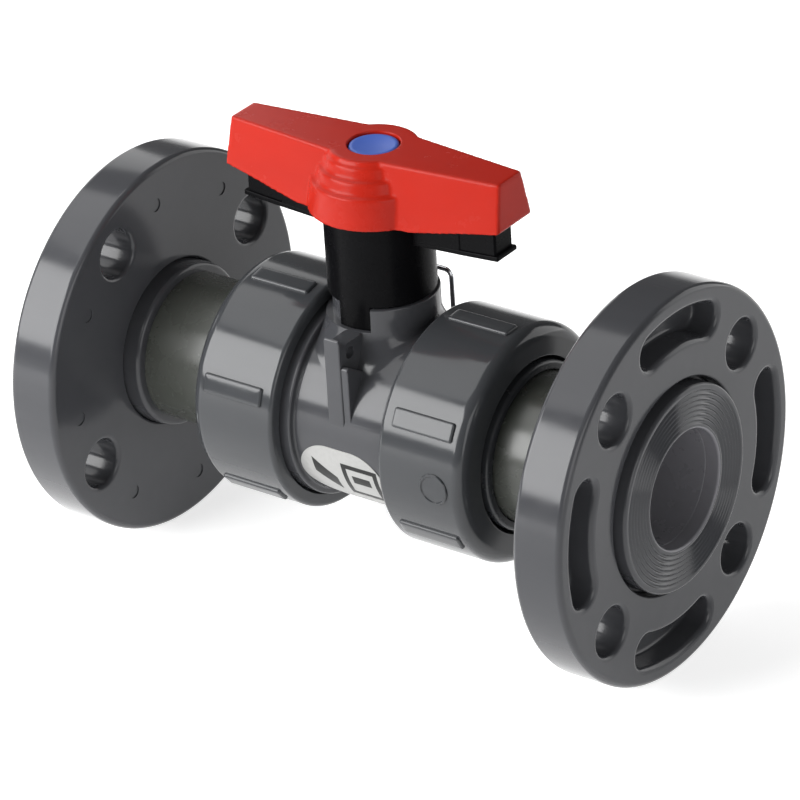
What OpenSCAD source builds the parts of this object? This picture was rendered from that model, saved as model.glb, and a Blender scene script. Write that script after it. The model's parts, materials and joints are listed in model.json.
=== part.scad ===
// Flanged true-union ball valve: a quarter-turn lever valve between two loose-ring flanges.
// The pipe runs along X, the stem stands up along Z, and both axes cross at the origin.
// Lengths are millimetres. Distances along the pipe ending in _u are measured outward from
// the middle of the valve, which lies mid_x to the outlet side of the stem.

/* [Pipe] */
// Diameter of the flow passage, from face to face
bore_d = 38.1; // [36:0.1:39]
// Outside diameter of the pipe stubs
pipe_d = 48.26; // [47:0.1:49]
// Distance from the stem to the middle of the valve, because the outlet end holds the seat carrier
mid_x = 2.4; // [0:0.1:4]

/* [Flanges] */
// Outside diameter of a flange ring
ring_d = 127; // [124:0.5:132]
// Thickness of a flange ring
ring_t = 17.3; // [15:0.1:20]
// Bolt circle diameter
bolt_circle = 98.43; // [96:0.01:101]
// Bolt hole diameter
bolt_hole_d = 15.88; // [14:0.01:16]
// Bolt holes in a ring
bolt_count = 4; // [4:4:8]
// Outer face of a ring, from the middle of the valve
ring_face_u = 104.85; // [102:0.05:112]
// How far the serrated hub face stands out of its ring
hub_proud = 3; // [1:0.1:5]
// Turn of the loose outlet ring in its rest position
outlet_turn = -5; // [-45:1:45]
// Turn of the loose inlet ring in its rest position
inlet_turn = -14; // [-45:1:45]

/* [Union nuts] */
// Outside diameter of a nut
nut_d = 77.2; // [76:0.1:80]
// Inner end of a nut, from the middle of the valve
nut_in_u = 20.4; // [20:0.1:22]
// Length of a nut
nut_len = 32; // [31:0.5:34]
// Height of the grip pads on a nut
pad_h = 0.9; // [0.4:0.1:1.5]
// Grip pads on a nut
pad_count = 6; // [4:1:8]

/* [Body] */
// Diameter of the barrel between the nuts
barrel_d = 62.4; // [62:0.1:64]
// Diameter of the threaded ends
thread_d = 66.8; // [66:0.1:67]
// Diameter of the ball
ball_d = 55; // [54:0.1:55]
// Diameter of the neck below the lever
neck_d = 36; // [35:0.1:37]

/* [Stem and lever] */
// Diameter of the stem in the neck
stem_d = 17; // [16:0.1:18]
// Lower edge of the lever's skirt
skirt_z = 42; // [41:0.5:44]
// Top face of the lever
lever_z = 90.5; // [90:0.5:92]
// Length of the lever
lever_len = 101.5; // [96:0.5:110]
// Outside diameter of the skirt
skirt_d = 34.4; // [34:0.1:35]
// Quarter turn that closes the valve
turn_angle = 90; // [90:1:90]

/* [Hidden] */
$fn = 96;
eps = 0.5;
run_gap = 0.1;

bore_r = bore_d / 2;
pipe_r = pipe_d / 2;

// End connections, all measured outward along the pipe
hub_face_u = ring_face_u + hub_proud;
hub_plate_t = 9;
hub_plate_u = hub_face_u - hub_plate_t;
hub_plate_r = 33.2;
hub_barrel_r = 27.2;
hub_collar = 5.7;
hub_end_u = ring_face_u - ring_t - hub_collar;
hub_stop_u = hub_face_u - 5;
recess_r = 34.5;
groove_count = 7;
groove_pitch = 1.7;
groove_depth = 0.6;
pocket_r = 52;
pocket_half_w = 5.4;
pocket_end_r = 5.1;
pocket_half_angle = 17;
pocket_depth = 9;
pin_mark_r = 51;
pin_mark_angle = 19.5;

conn_face_u = 36;
conn_plate_t = 6;
conn_plate_r = 33;
conn_barrel_r = 27.3;
conn_end_u = nut_in_u + nut_len + 1.6;
conn_stop_u = 41;
face_ring_r = 29.9;
face_ring_s = 1;

nut_r = nut_d / 2;
nut_bore_r = thread_d / 2 + run_gap;
lip_r = conn_barrel_r + run_gap;
pad_half_angle = 4.7;
pad_in_u = 24.6;
pad_len = 22.4;
outlet_pad_angle = 61.2;
inlet_pad_angle = 70.8;

// Body, seats and ball, measured from the stem
barrel_r = barrel_d / 2;
thread_r = thread_d / 2;
shoulder_u = 17.1;
ball_r = ball_d / 2;
cavity_r = 28;
cavity_x = -14;
seat_x = 22.6;
seat_in_x = 12.5;
seat_r = 25.5;
carrier_in_x = 14;
carrier_ring_s = 1.2;
carrier_ring_x = 31;
neck_r = neck_d / 2;
neck_z = skirt_z - 0.2;
spigot_r = 14;
spigot_z = 52;
stem_r = stem_d / 2;
collar_r = 11;
collar_z = 28.3;
collar_t = 3;
tang_w = 7;
tang_len = 19;
tang_z = 22;
stem_ring_s = 1.1;
stem_ring_z = [36.5, 43.5];

// Quarter-turn stop: a tab on the skirt runs in a gap cut into the neck
tab_from = -105;
tab_to = -68;
tab_in_r = 16;
tab_z = 34.5;
stop_gap = 1;
stop_from = tab_from - turn_angle - stop_gap;
stop_to = tab_to + stop_gap;

// Lever
skirt_r = skirt_d / 2;
half_len = lever_len / 2;
hub_low_z = 70.5;
hub_low_r = 21.8;
hub_top_r = 14;
boss_r = 15;
boss_z = 76;
under_slope = 0.16;
arm_low_z = 61.2;
arm_low_slope = 0.075;
arm_half_w = 4.6;
arm_end_x = 47.2;
square_w = 11;
screw_r = 2.5;
screw_low_z = 60;
well_r = 6;
well_z = 80;
cap_r = 7.95;
cap_floor_z = 86;
side_draft = 12;
side_yaw = 6.2;

// Wire clip pushed into the body behind the neck
clip_r = 0.8;
clip_half_w = 12.1;
clip_y = 19.6;
clip_low_z = 21.7;
clip_top_z = 41;
clip_bend_r = 2.4;

// Turns a shape built up along Z so that it runs outward along the pipe.
// side is 1 for the outlet and -1 for the inlet.
module outward(side) {
    translate([mid_x, 0, 0])
        mirror([side < 0 ? 1 : 0, 0, 0])
            rotate([0, 90, 0])
                children();
}

// Turns a shape built up along Z so that it runs along the pipe from the stem.
module from_stem(side = 1) {
    mirror([side < 0 ? 1 : 0, 0, 0])
        rotate([0, 90, 0])
            children();
}

// Hollow cylinder from z0 to z1
module tube(outer_r, inner_r, z0, z1) {
    difference() {
        translate([0, 0, z0])
            cylinder(r = outer_r, h = z1 - z0);
        translate([0, 0, z0 - eps])
            cylinder(r = inner_r, h = z1 - z0 + 2 * eps);
    }
}

// Solid cylinder from z0 to z1
module disc(r, z0, z1) {
    translate([0, 0, z0])
        cylinder(r = r, h = z1 - z0);
}

// Half section of a cylinder with rounded rims, for rotate_extrude
module rounded_section(r, z0, z1, low_round, high_round) {
    union() {
        translate([0, z0])
            square([r - low_round, low_round]);
        translate([0, z0 + low_round])
            square([r, z1 - z0 - low_round - high_round]);
        translate([0, z1 - high_round])
            square([r - high_round, high_round]);
        intersection() {
            translate([r - low_round, z0 + low_round])
                circle(r = low_round);
            translate([0, z0])
                square([r, z1 - z0]);
        }
        intersection() {
            translate([r - high_round, z1 - high_round])
                circle(r = high_round);
            translate([0, z0])
                square([r, z1 - z0]);
        }
    }
}

// Ring of round section, for seals
module seal(r, section_r, z) {
    translate([0, 0, z])
        rotate_extrude()
            translate([r, 0])
                circle(r = section_r, $fn = 32);
}

// Wedge between two angles, wide enough to cut any part of the neck
module wedge(from, to, z0, z1) {
    reach = 60;
    steps = 6;
    translate([0, 0, z0])
        linear_extrude(z1 - z0)
            polygon(concat([[0, 0]],
                [for (i = [0 : steps]) let(a = from + (to - from) * i / steps) reach * [cos(a), sin(a)]]));
}

// ---- Flanges ----

module kidney_pocket() {
    floor_u = ring_face_u - pocket_depth;
    intersection() {
        tube(pocket_r + pocket_half_w, pocket_r - pocket_half_w, floor_u, ring_face_u + eps);
        wedge(-pocket_half_angle, pocket_half_angle, floor_u, ring_face_u + eps);
    }
    for (end = [-1, 1])
        rotate([0, 0, end * pocket_half_angle])
            translate([pocket_r, 0, 0])
                rotate([0, 0, -90 * end])
                    disc(pocket_end_r, floor_u, ring_face_u + eps);
}

module bolt_hole() {
    flare = 1.4;
    back_u = ring_face_u - ring_t;
    translate([bolt_circle / 2, 0, 0]) {
        disc(bolt_hole_d / 2, back_u - eps, ring_face_u + eps);
        translate([0, 0, ring_face_u - flare])
            cylinder(r1 = bolt_hole_d / 2, r2 = bolt_hole_d / 2 + flare + eps, h = flare + eps);
        translate([0, 0, back_u - eps])
            cylinder(r1 = bolt_hole_d / 2 + flare + eps, r2 = bolt_hole_d / 2, h = flare + eps);
    }
}

module flange(side, turn) {
    rim_round = 2;
    mark_depth = 0.4;
    mark_r = 2.4;
    back_u = ring_face_u - ring_t;
    pitch_angle = 360 / bolt_count;
    color("#55565a")
        outward(side)
            difference() {
                rotate_extrude()
                    rounded_section(ring_d / 2, back_u, ring_face_u, rim_round, rim_round);
                disc(hub_barrel_r + run_gap, back_u - eps, ring_face_u + eps);
                disc(recess_r, hub_plate_u - run_gap, ring_face_u + eps);
                for (i = [0 : bolt_count - 1]) {
                    rotate([0, 0, 135 + turn + i * pitch_angle])
                        bolt_hole();
                    rotate([0, 0, 90 + turn + i * pitch_angle]) {
                        kidney_pocket();
                        for (a = [-pin_mark_angle, pin_mark_angle])
                            rotate([0, 0, a])
                                translate([pin_mark_r, 0, 0])
                                    disc(mark_r, back_u - eps, back_u + mark_depth);
                    }
                }
            }
}

module hub(side) {
    first_groove_r = bore_r + 2.2;
    crest = 0.1;
    back_round = 0.8;
    face_round = 1.2;
    color("#55565a")
        outward(side)
            difference() {
                union() {
                    rotate_extrude()
                        rounded_section(hub_plate_r, hub_plate_u, hub_face_u, back_round, face_round);
                    disc(hub_barrel_r, hub_end_u, hub_plate_u + eps);
                }
                disc(bore_r, hub_end_u - eps, hub_face_u + eps);
                disc(pipe_r, hub_end_u - eps, hub_stop_u);
                rotate_extrude()
                    for (i = [0 : groove_count - 1])
                        translate([first_groove_r + i * groove_pitch, hub_face_u])
                            polygon([[-groove_pitch / 2, eps], [-groove_pitch / 2 + crest, 0],
                                [0, -groove_depth], [groove_pitch / 2 - crest, 0], [groove_pitch / 2, eps]]);
            }
}

module pipe_stub(side) {
    color("#3f423d")
        outward(side)
            tube(pipe_r, bore_r, conn_stop_u, hub_stop_u);
}

// ---- Unions ----

module connector(side) {
    face_round = 0.4;
    end_round = 1.2;
    color("#4c4e50")
        outward(side)
            difference() {
                union() {
                    disc(conn_plate_r, conn_face_u, conn_face_u + conn_plate_t);
                    rotate_extrude()
                        rounded_section(conn_barrel_r, conn_face_u + eps, conn_end_u, face_round, end_round);
                }
                disc(bore_r, conn_face_u - eps, conn_end_u + eps);
                disc(pipe_r, conn_stop_u, conn_end_u + eps);
                tube(face_ring_r + face_ring_s, face_ring_r - face_ring_s,
                    conn_face_u - eps, conn_face_u + 2 * face_ring_s);
            }
}

module face_ring(side) {
    color("#1c1c1e")
        outward(side)
            seal(face_ring_r, face_ring_s, conn_face_u + face_ring_s);
}

// One raised pad; angle is measured from the top towards the front
module grip_pad(angle) {
    root_depth = 1.5;
    rotate([0, 0, 180 + angle])
        intersection() {
            tube(nut_r + pad_h, nut_r - root_depth, pad_in_u, pad_in_u + pad_len);
            wedge(-pad_half_angle, pad_half_angle, pad_in_u - eps, pad_in_u + pad_len + eps);
        }
}

module union_nut(side, pad_angle) {
    outer_u = nut_in_u + nut_len;
    lip_u = conn_face_u + conn_plate_t + run_gap;
    funnel = 2;
    chamfer = 0.6;
    inner_round = 1.4;
    outer_round = 4.5;
    skip = 0.01;
    color("#4f5054")
        outward(side)
            difference() {
                union() {
                    rotate_extrude()
                        rounded_section(nut_r, nut_in_u, outer_u, inner_round, outer_round);
                    for (i = [0 : pad_count - 1])
                        grip_pad(pad_angle + i * 360 / pad_count);
                }
                disc(nut_bore_r, nut_in_u - eps, lip_u);
                disc(lip_r, nut_in_u - eps, outer_u + eps);
                translate([0, 0, nut_in_u - skip])
                    cylinder(r1 = nut_bore_r + chamfer, r2 = nut_bore_r, h = chamfer);
                translate([0, 0, outer_u - funnel])
                    cylinder(r1 = lip_r, r2 = lip_r + funnel / 2, h = funnel + skip);
            }
}

// ---- Body, seats and ball ----

module thread_grooves() {
    groove_total = 3;
    pitch = 4;
    width = 2;
    depth = 1;
    first_u = shoulder_u + 7;
    for (i = [0 : groove_total - 1])
        tube(thread_r + eps, thread_r - depth, first_u + i * pitch, first_u + i * pitch + width);
}

module front_fin() {
    fin_x = 1.8;
    fin_t = 5.8;
    gusset_t = 2.4;
    front_y = -30.5;
    back_y = -12;
    top_z = 36.8;
    foot_z = 6;
    eye_y = -25;
    eye_z = 30.7;
    eye_r = 2;
    translate([fin_x - fin_t / 2, 0, 0])
        rotate([90, 0, 90])
            difference() {
                linear_extrude(fin_t)
                    polygon([[back_y, 10], [front_y, foot_z], [front_y, top_z], [front_y + 5, top_z],
                        [-17, 34], [back_y, 34]]);
                translate([eye_y, eye_z, -eps])
                    cylinder(r = eye_r, h = fin_t + 2 * eps);
            }
    translate([fin_x + fin_t / 2 - eps, 0, 0])
        rotate([90, 0, 90])
            linear_extrude(gusset_t + eps)
                polygon([[back_y, 10], [front_y + 0.4, foot_z], [front_y + 0.4, 28.5], [-21, 23],
                    [back_y, 22]]);
}

module neck() {
    flare_z = 24;
    flare_r = 24;
    flare_top_z = 34;
    buried_z = 10;
    difference() {
        union() {
            disc(neck_r, buried_z, neck_z);
            disc(spigot_r, neck_z - eps, spigot_z);
            translate([0, 0, flare_z])
                cylinder(r1 = flare_r, r2 = neck_r, h = flare_top_z - flare_z);
            disc(flare_r, buried_z, flare_z);
        }
        difference() {
            wedge(stop_from, stop_to, tab_z - 0.2, neck_z + eps);
            disc(tab_in_r - run_gap, tab_z - eps, neck_z + 2 * eps);
        }
    }
}

module valve_body() {
    inlet_end_x = conn_face_u - mid_x;
    outlet_end_x = conn_face_u + mid_x;
    end_round = 0.8;
    color("#55565a")
        difference() {
            union() {
                outward(1)
                    disc(barrel_r, -shoulder_u - eps, shoulder_u + eps);
                for (side = [-1, 1])
                    outward(side)
                        difference() {
                            rotate_extrude()
                                rounded_section(thread_r, shoulder_u, conn_face_u, end_round, end_round);
                            thread_grooves();
                        }
                intersection() {
                    union() {
                        neck();
                        front_fin();
                    }
                    translate([mid_x - nut_in_u + run_gap, -barrel_d, 0])
                        cube([2 * (nut_in_u - run_gap), 2 * barrel_d, spigot_z]);
                }
            }
            from_stem()
                disc(cavity_r, cavity_x, outlet_end_x + eps);
            from_stem()
                disc(seat_r, -seat_x, cavity_x + eps);
            from_stem()
                disc(bore_r, -inlet_end_x - eps, outlet_end_x + eps);
            disc(stem_r + run_gap, 0, spigot_z + eps);
            disc(collar_r + run_gap, 0, collar_z + collar_t + run_gap);
            for (x = [-clip_half_w, clip_half_w])
                translate([x, clip_y, 0])
                    disc(clip_r, clip_low_z, neck_z);
        }
}

module flow_label() {
    thickness = 0.25;
    half_len_label = 16.6;
    half_w = 12;
    lean = 30.5;
    color("#ececea")
        intersection() {
            outward(1)
                tube(barrel_r + thickness, barrel_r, -shoulder_u, shoulder_u);
            rotate([lean, 0, 0])
                rotate([90, 0, 0])
                    linear_extrude(2 * barrel_r)
                        union() {
                            for (x = [-1, 1])
                                translate([mid_x + x * (half_len_label - half_w), 0])
                                    circle(r = half_w);
                            translate([mid_x - half_len_label + half_w, -half_w])
                                square([2 * (half_len_label - half_w), 2 * half_w]);
                        }
        }
}

module seat(side) {
    color("#f2f1ec")
        difference() {
            from_stem(side)
                tube(seat_r, bore_r, seat_in_x, seat_x);
            sphere(r = ball_r + run_gap / 2);
        }
}

module seat_carrier() {
    outlet_end_x = conn_face_u + mid_x;
    slot_w = 5;
    slot_depth = 3;
    slot_in_r = 22;
    color("#5b5c60")
        from_stem()
            difference() {
                tube(cavity_r, bore_r, carrier_in_x, outlet_end_x);
                disc(seat_r, carrier_in_x - eps, seat_x);
                tube(cavity_r + eps, cavity_r - 2 * carrier_ring_s,
                    carrier_ring_x - carrier_ring_s, carrier_ring_x + carrier_ring_s);
                for (y = [-1, 1])
                    translate([-slot_w / 2, y > 0 ? slot_in_r : -cavity_r - eps, outlet_end_x - slot_depth])
                        cube([slot_w, cavity_r + eps - slot_in_r, slot_depth + eps]);
            }
}

module carrier_ring() {
    color("#1c1c1e")
        from_stem()
            seal(cavity_r - carrier_ring_s, carrier_ring_s, carrier_ring_x);
}

module ball() {
    color("#626366")
        difference() {
            sphere(r = ball_r);
            from_stem()
                disc(bore_r, -ball_r, ball_r);
            translate([-ball_r, -tang_w / 2 - run_gap / 2, tang_z - run_gap])
                cube([2 * ball_r, tang_w + run_gap, ball_r]);
        }
}

// ---- Stem and lever ----

module stem() {
    collar_top = collar_z + collar_t;
    round_top = 55;
    color("#6a6b6e")
        difference() {
            union() {
                translate([-tang_len / 2, -tang_w / 2, tang_z])
                    cube([tang_len, tang_w, collar_z + eps - tang_z]);
                disc(collar_r, collar_z, collar_top);
                disc(stem_r, collar_top - eps, round_top);
                translate([-square_w / 2, -square_w / 2, round_top - eps])
                    cube([square_w, square_w, boss_z - round_top + eps]);
            }
            for (z = stem_ring_z)
                tube(stem_r + eps, stem_r - 2 * stem_ring_s, z - stem_ring_s, z + stem_ring_s);
            disc(screw_r, screw_low_z, boss_z + eps);
        }
}

module stem_ring(z) {
    clear = 0.02;
    color("#1c1c1e")
        seal(stem_r + run_gap - stem_ring_s - clear, stem_ring_s, z);
}

// Height of the lever cover's underside at a distance x from the stem
function under_z(x) = hub_low_z + max(0, x - hub_low_r) * under_slope;

module base_arm() {
    root_x = spigot_r + 1;
    lip = 1.2;
    lip_h = 1.7;
    end_low_z = arm_low_z + (arm_end_x - root_x) * arm_low_slope;
    rotate([90, 0, 0])
        translate([0, 0, -arm_half_w])
            linear_extrude(2 * arm_half_w)
                polygon([[root_x, arm_low_z], [arm_end_x, end_low_z], [arm_end_x, under_z(arm_end_x)],
                    [hub_low_r, hub_low_z], [root_x, hub_low_z]]);
    rotate([90, 0, 0])
        translate([0, 0, -arm_half_w - lip / 2])
            linear_extrude(2 * arm_half_w + lip)
                polygon([[root_x, arm_low_z], [arm_end_x + lip, end_low_z + lip * arm_low_slope],
                    [arm_end_x + lip, end_low_z + lip_h], [root_x, arm_low_z + lip_h]]);
}

module lever_base() {
    skirt_in_r = spigot_r + 0.3;
    skirt_top_z = 58;
    color("#1b1b1d")
        difference() {
            union() {
                tube(skirt_r, skirt_in_r, skirt_z, skirt_top_z + eps);
                disc(skirt_r, skirt_top_z, hub_low_z);
                disc(boss_r, hub_low_z - eps, boss_z);
                intersection() {
                    tube(skirt_r, tab_in_r, tab_z, skirt_z + eps);
                    wedge(tab_from, tab_to, tab_z - eps, skirt_z + 2 * eps);
                }
                for (a = [0, 180])
                    rotate([0, 0, a])
                        base_arm();
            }
            translate([-square_w / 2, -square_w / 2, skirt_top_z - eps])
                cube([square_w, square_w, boss_z]);
        }
}

// Cuts away everything beyond one leaning side of a lever arm
module side_cut(x_side, y_side) {
    end_half_w = 5.9;
    span = 120;
    mirror([x_side < 0 ? 1 : 0, 0, 0])
        mirror([0, y_side < 0 ? 1 : 0, 0])
            translate([half_len, end_half_w, lever_z])
                rotate([0, 0, -side_yaw])
                    rotate([side_draft, 0, 0])
                        translate([-span, 0, -span / 2])
                            cube([1.5 * span, span, span]);
}

module cover_arms() {
    end_lean = 0.9;
    blank_half_w = 30;
    difference() {
        rotate([90, 0, 0])
            translate([0, 0, -blank_half_w])
                linear_extrude(2 * blank_half_w)
                    polygon([[-half_len, lever_z], [-half_len - end_lean, under_z(half_len + end_lean)],
                        [-hub_low_r, hub_low_z], [hub_low_r, hub_low_z],
                        [half_len + end_lean, under_z(half_len + end_lean)], [half_len, lever_z]]);
        for (x_side = [-1, 1], y_side = [-1, 1])
            side_cut(x_side, y_side);
    }
}

// Flared hub that steps out in three tiers
module cover_hub() {
    tiers = 3;
    tier_h = (lever_z - hub_low_z) / tiers;
    tier_w = (hub_low_r - hub_top_r) / tiers;
    ledge = 0.7;
    rotate_extrude()
        polygon(concat([[0, hub_low_z]],
            [for (i = [0 : tiers - 1], top = [0, 1])
                [hub_low_r - (i + top) * tier_w + top * ledge, hub_low_z + (i + top) * tier_h]],
            [[0, lever_z]]));
}

module lever_cover() {
    color("#b8281e")
        difference() {
            union() {
                cover_arms();
                cover_hub();
            }
            disc(boss_r, hub_low_z - eps, boss_z);
            disc(screw_r + run_gap, boss_z - eps, well_z + eps);
            disc(well_r, well_z, cap_floor_z + eps);
            disc(cap_r + run_gap / 2, cap_floor_z, lever_z + eps);
        }
}

module lever_cap() {
    sink = 0.5;
    low_round = 0.4;
    high_round = 0.8;
    color("#4a66c0")
        rotate_extrude()
            rounded_section(cap_r, cap_floor_z, lever_z - sink, low_round, high_round);
}

module lever_screw() {
    head_r = 5.4;
    head_h = 4;
    socket_r = 2.6;
    color("#9a9c9e")
        difference() {
            union() {
                disc(head_r, well_z, well_z + head_h);
                disc(screw_r, screw_low_z, well_z + eps);
            }
            translate([0, 0, well_z + head_h / 2])
                cylinder(r = socket_r, h = head_h, $fn = 6);
        }
}

module stop_clip() {
    arch_z = clip_top_z - clip_bend_r;
    reach = clip_half_w - clip_bend_r;
    color("#b9bbbd")
        translate([0, clip_y, 0])
            union() {
                for (x = [-clip_half_w, clip_half_w])
                    translate([x, 0, 0])
                        disc(clip_r, clip_low_z, arch_z);
                translate([-reach, 0, clip_top_z])
                    rotate([0, 90, 0])
                        cylinder(r = clip_r, h = 2 * reach);
                for (side = [-1, 1])
                    translate([side * reach, 0, arch_z])
                        rotate([90, 0, 0])
                            rotate([0, 0, side > 0 ? 0 : 90])
                                rotate_extrude(angle = 90)
                                    translate([clip_bend_r, 0])
                                        circle(r = clip_r, $fn = 32);
            }
}

valve_body();
flow_label();
seat(-1);  // inlet_seat
seat(1);  // outlet_seat
seat_carrier();
carrier_ring();
connector(-1);  // inlet_connector
connector(1);  // outlet_connector
face_ring(-1);  // inlet_face_ring
face_ring(1);  // outlet_face_ring
union_nut(-1, inlet_pad_angle);  // inlet_nut
union_nut(1, outlet_pad_angle);  // outlet_nut
pipe_stub(-1);  // inlet_pipe
pipe_stub(1);  // outlet_pipe
hub(-1);  // inlet_hub
hub(1);  // outlet_hub
flange(-1, inlet_turn);  // inlet_flange
flange(1, outlet_turn);  // outlet_flange
ball();
stem();
stem_ring(stem_ring_z[0]);  // lower_stem_ring
stem_ring(stem_ring_z[1]);  // upper_stem_ring
lever_base();
lever_cover();
lever_cap();
lever_screw();
stop_clip();
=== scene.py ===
"""Looks for the flanged union ball valve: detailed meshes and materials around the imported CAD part.

Shapes are built in millimetres in the frame's own axes and turned to metres when they are dressed.
A place along the pipe is given as u, the distance outward from the middle of the valve, with side 1
for the outlet end and -1 for the inlet end. An angle round the pipe is measured from the top
towards the front (-Y).
"""

import json
from math import atan2, cos, pi, radians, sin, sqrt, tan

import bmesh
import bpy
from mathutils import Matrix, Vector


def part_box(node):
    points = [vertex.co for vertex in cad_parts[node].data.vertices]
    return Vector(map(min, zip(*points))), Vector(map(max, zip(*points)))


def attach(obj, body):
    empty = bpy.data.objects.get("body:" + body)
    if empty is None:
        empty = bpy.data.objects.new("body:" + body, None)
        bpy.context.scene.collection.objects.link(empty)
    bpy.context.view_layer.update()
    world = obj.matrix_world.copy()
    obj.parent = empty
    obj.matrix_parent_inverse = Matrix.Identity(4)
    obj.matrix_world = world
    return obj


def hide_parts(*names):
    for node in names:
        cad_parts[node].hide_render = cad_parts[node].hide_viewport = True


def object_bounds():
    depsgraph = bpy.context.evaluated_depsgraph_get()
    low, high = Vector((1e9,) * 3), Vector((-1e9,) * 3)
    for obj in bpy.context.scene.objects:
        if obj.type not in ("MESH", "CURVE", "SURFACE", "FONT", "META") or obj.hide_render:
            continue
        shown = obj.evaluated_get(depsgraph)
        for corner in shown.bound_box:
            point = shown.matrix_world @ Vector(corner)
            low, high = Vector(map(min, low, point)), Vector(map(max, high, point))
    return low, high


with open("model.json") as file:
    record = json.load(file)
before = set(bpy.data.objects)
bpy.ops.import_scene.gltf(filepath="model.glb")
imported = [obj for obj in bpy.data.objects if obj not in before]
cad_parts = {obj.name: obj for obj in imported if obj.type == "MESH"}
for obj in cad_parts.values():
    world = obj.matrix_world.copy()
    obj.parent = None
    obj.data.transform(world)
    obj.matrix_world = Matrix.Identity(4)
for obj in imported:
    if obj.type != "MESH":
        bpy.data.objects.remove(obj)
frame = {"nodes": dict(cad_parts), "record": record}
CAD_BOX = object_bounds()
MM = 0.001


def box_mm(node):
    """Lowest and highest corner of a CAD node, in millimetres."""
    lo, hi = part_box(node)
    return Vector(lo) / MM, Vector(hi) / MM


# ---- Sizes read from the frame ----

MOUNTS = {m["name"]: m for m in frame["record"]["mounts"]}
CAD_LOW, CAD_HIGH = Vector(CAD_BOX[0]) / MM, Vector(CAD_BOX[1]) / MM
MID_X = (CAD_LOW.x + CAD_HIGH.x) / 2

BORE_R = MOUNTS["flow_bore"]["dims"]["r_mm"]
EYE = Vector(MOUNTS["lock_eye"]["pos_m"]) / MM


def bolt_holes(end):
    """Places of one ring's bolt holes."""
    return [Vector(m["pos_m"]) / MM for name, m in MOUNTS.items() if name.startswith(end + "_bolt_")]


FIRST_HOLE = bolt_holes("outlet")[0]
BOLT_R = sqrt(FIRST_HOLE.y ** 2 + FIRST_HOLE.z ** 2)
BOLT_HOLE_R = MOUNTS["outlet_bolt_1"]["dims"]["r_mm"]

RING_LOW, RING_HIGH = box_mm("outlet_flange")
RING_R = RING_HIGH.z
RING_BACK_U = RING_LOW.x - MID_X
RING_FACE_U = RING_HIGH.x - MID_X

HUB_LOW, HUB_HIGH = box_mm("outlet_hub")
HUB_PLATE_R = HUB_HIGH.z
HUB_END_U = HUB_LOW.x - MID_X
HUB_FACE_U = HUB_HIGH.x - MID_X

PIPE_LOW, PIPE_HIGH = box_mm("outlet_pipe")
PIPE_R = PIPE_HIGH.z
PIPE_IN_U = PIPE_LOW.x - MID_X
PIPE_OUT_U = PIPE_HIGH.x - MID_X

CONN_LOW, CONN_HIGH = box_mm("outlet_connector")
CONN_FACE_U = CONN_LOW.x - MID_X
CONN_END_U = CONN_HIGH.x - MID_X
CONN_PLATE_R = CONN_HIGH.z

NUT_LOW, NUT_HIGH = box_mm("outlet_nut")
NUT_IN_U = NUT_LOW.x - MID_X
NUT_OUT_U = NUT_HIGH.x - MID_X

SPIGOT_Z = box_mm("valve_body")[1].z

BASE_LOW, BASE_HIGH = box_mm("lever_base")
COVER_LOW, COVER_HIGH = box_mm("lever_cover")
CAP_LOW, CAP_HIGH = box_mm("lever_cap")
CLIP_LOW, CLIP_HIGH = box_mm("stop_clip")
LEVER_TOP_Z = COVER_HIGH.z
TAB_Z = BASE_LOW.z
SKIRT_R = BASE_HIGH.y

# ---- Sizes of the details ----

AROUND = 240
RECESS_R = 34.5
HUB_BARREL_R = 27.2
HUB_PLATE_T = 9
POCKET_R = 52
POCKET_HALF_W = 5.4
POCKET_HALF_ANGLE = radians(17)
POCKET_DEPTH = 9
CONN_BARREL_R = 27.3
NUT_R = 38.6
THREAD_R = 33.4
NUT_BORE_R = 33.5
BARREL_R = 31.2
SHOULDER_U = 17.1
NECK_R = 18
NECK_Z = 41.8
SPIGOT_R = 14
TAB_IN_R = 16
TAB_FROM = radians(-105)
TAB_TO = radians(-68)
SKIRT_Z = 42
SKIRT_TOP_Z = 58
HUB_LOW_Z = COVER_LOW.z
HUB_LOW_R = 21.8
HUB_TOP_R = 14
BOSS_R = 15
BOSS_Z = 76
EYE_R = 2
BODY_FRONT_Y = -30.5


# ---- Outlines ----


def rounded(corners, detail=6, closed=True):
    """Outline through (x, y, radius) corners, with an arc at each corner that has a radius."""
    points = []
    count = len(corners)
    for i, (x, y, radius) in enumerate(corners):
        corner = Vector((x, y))
        at_end = not closed and i in (0, count - 1)
        if radius == 0 or at_end:
            points.append((x, y))
            continue
        back = (Vector(corners[i - 1][:2]) - corner).normalized()
        on = (Vector(corners[(i + 1) % count][:2]) - corner).normalized()
        half = back.angle(on) / 2
        centre = corner + (back + on).normalized() * (radius / sin(half))
        start = corner + back * (radius / tan(half)) - centre
        stop = corner + on * (radius / tan(half)) - centre
        first = atan2(start.y, start.x)
        sweep = (atan2(stop.y, stop.x) - first + pi) % (2 * pi) - pi
        for k in range(detail + 1):
            a = first + sweep * k / detail
            points.append((centre.x + radius * cos(a), centre.y + radius * sin(a)))
    return points


def rounded_rectangle(half_w, half_h, corner, detail=6):
    """Outline of a rectangle about the origin, with the same number of points for any size."""
    points = []
    for quarter, (sx, sy) in enumerate([(1, 1), (-1, 1), (-1, -1), (1, -1)]):
        for k in range(detail + 1):
            a = pi / 2 * (quarter + k / detail)
            x = sx * (half_w - corner) + corner * cos(a)
            y = sy * (half_h - corner) + corner * sin(a)
            points.append((x, y))
    return points


def circle(r, steps):
    """Points spaced evenly round the origin."""
    return [(r * cos(2 * pi * k / steps), r * sin(2 * pi * k / steps)) for k in range(steps)]


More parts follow.
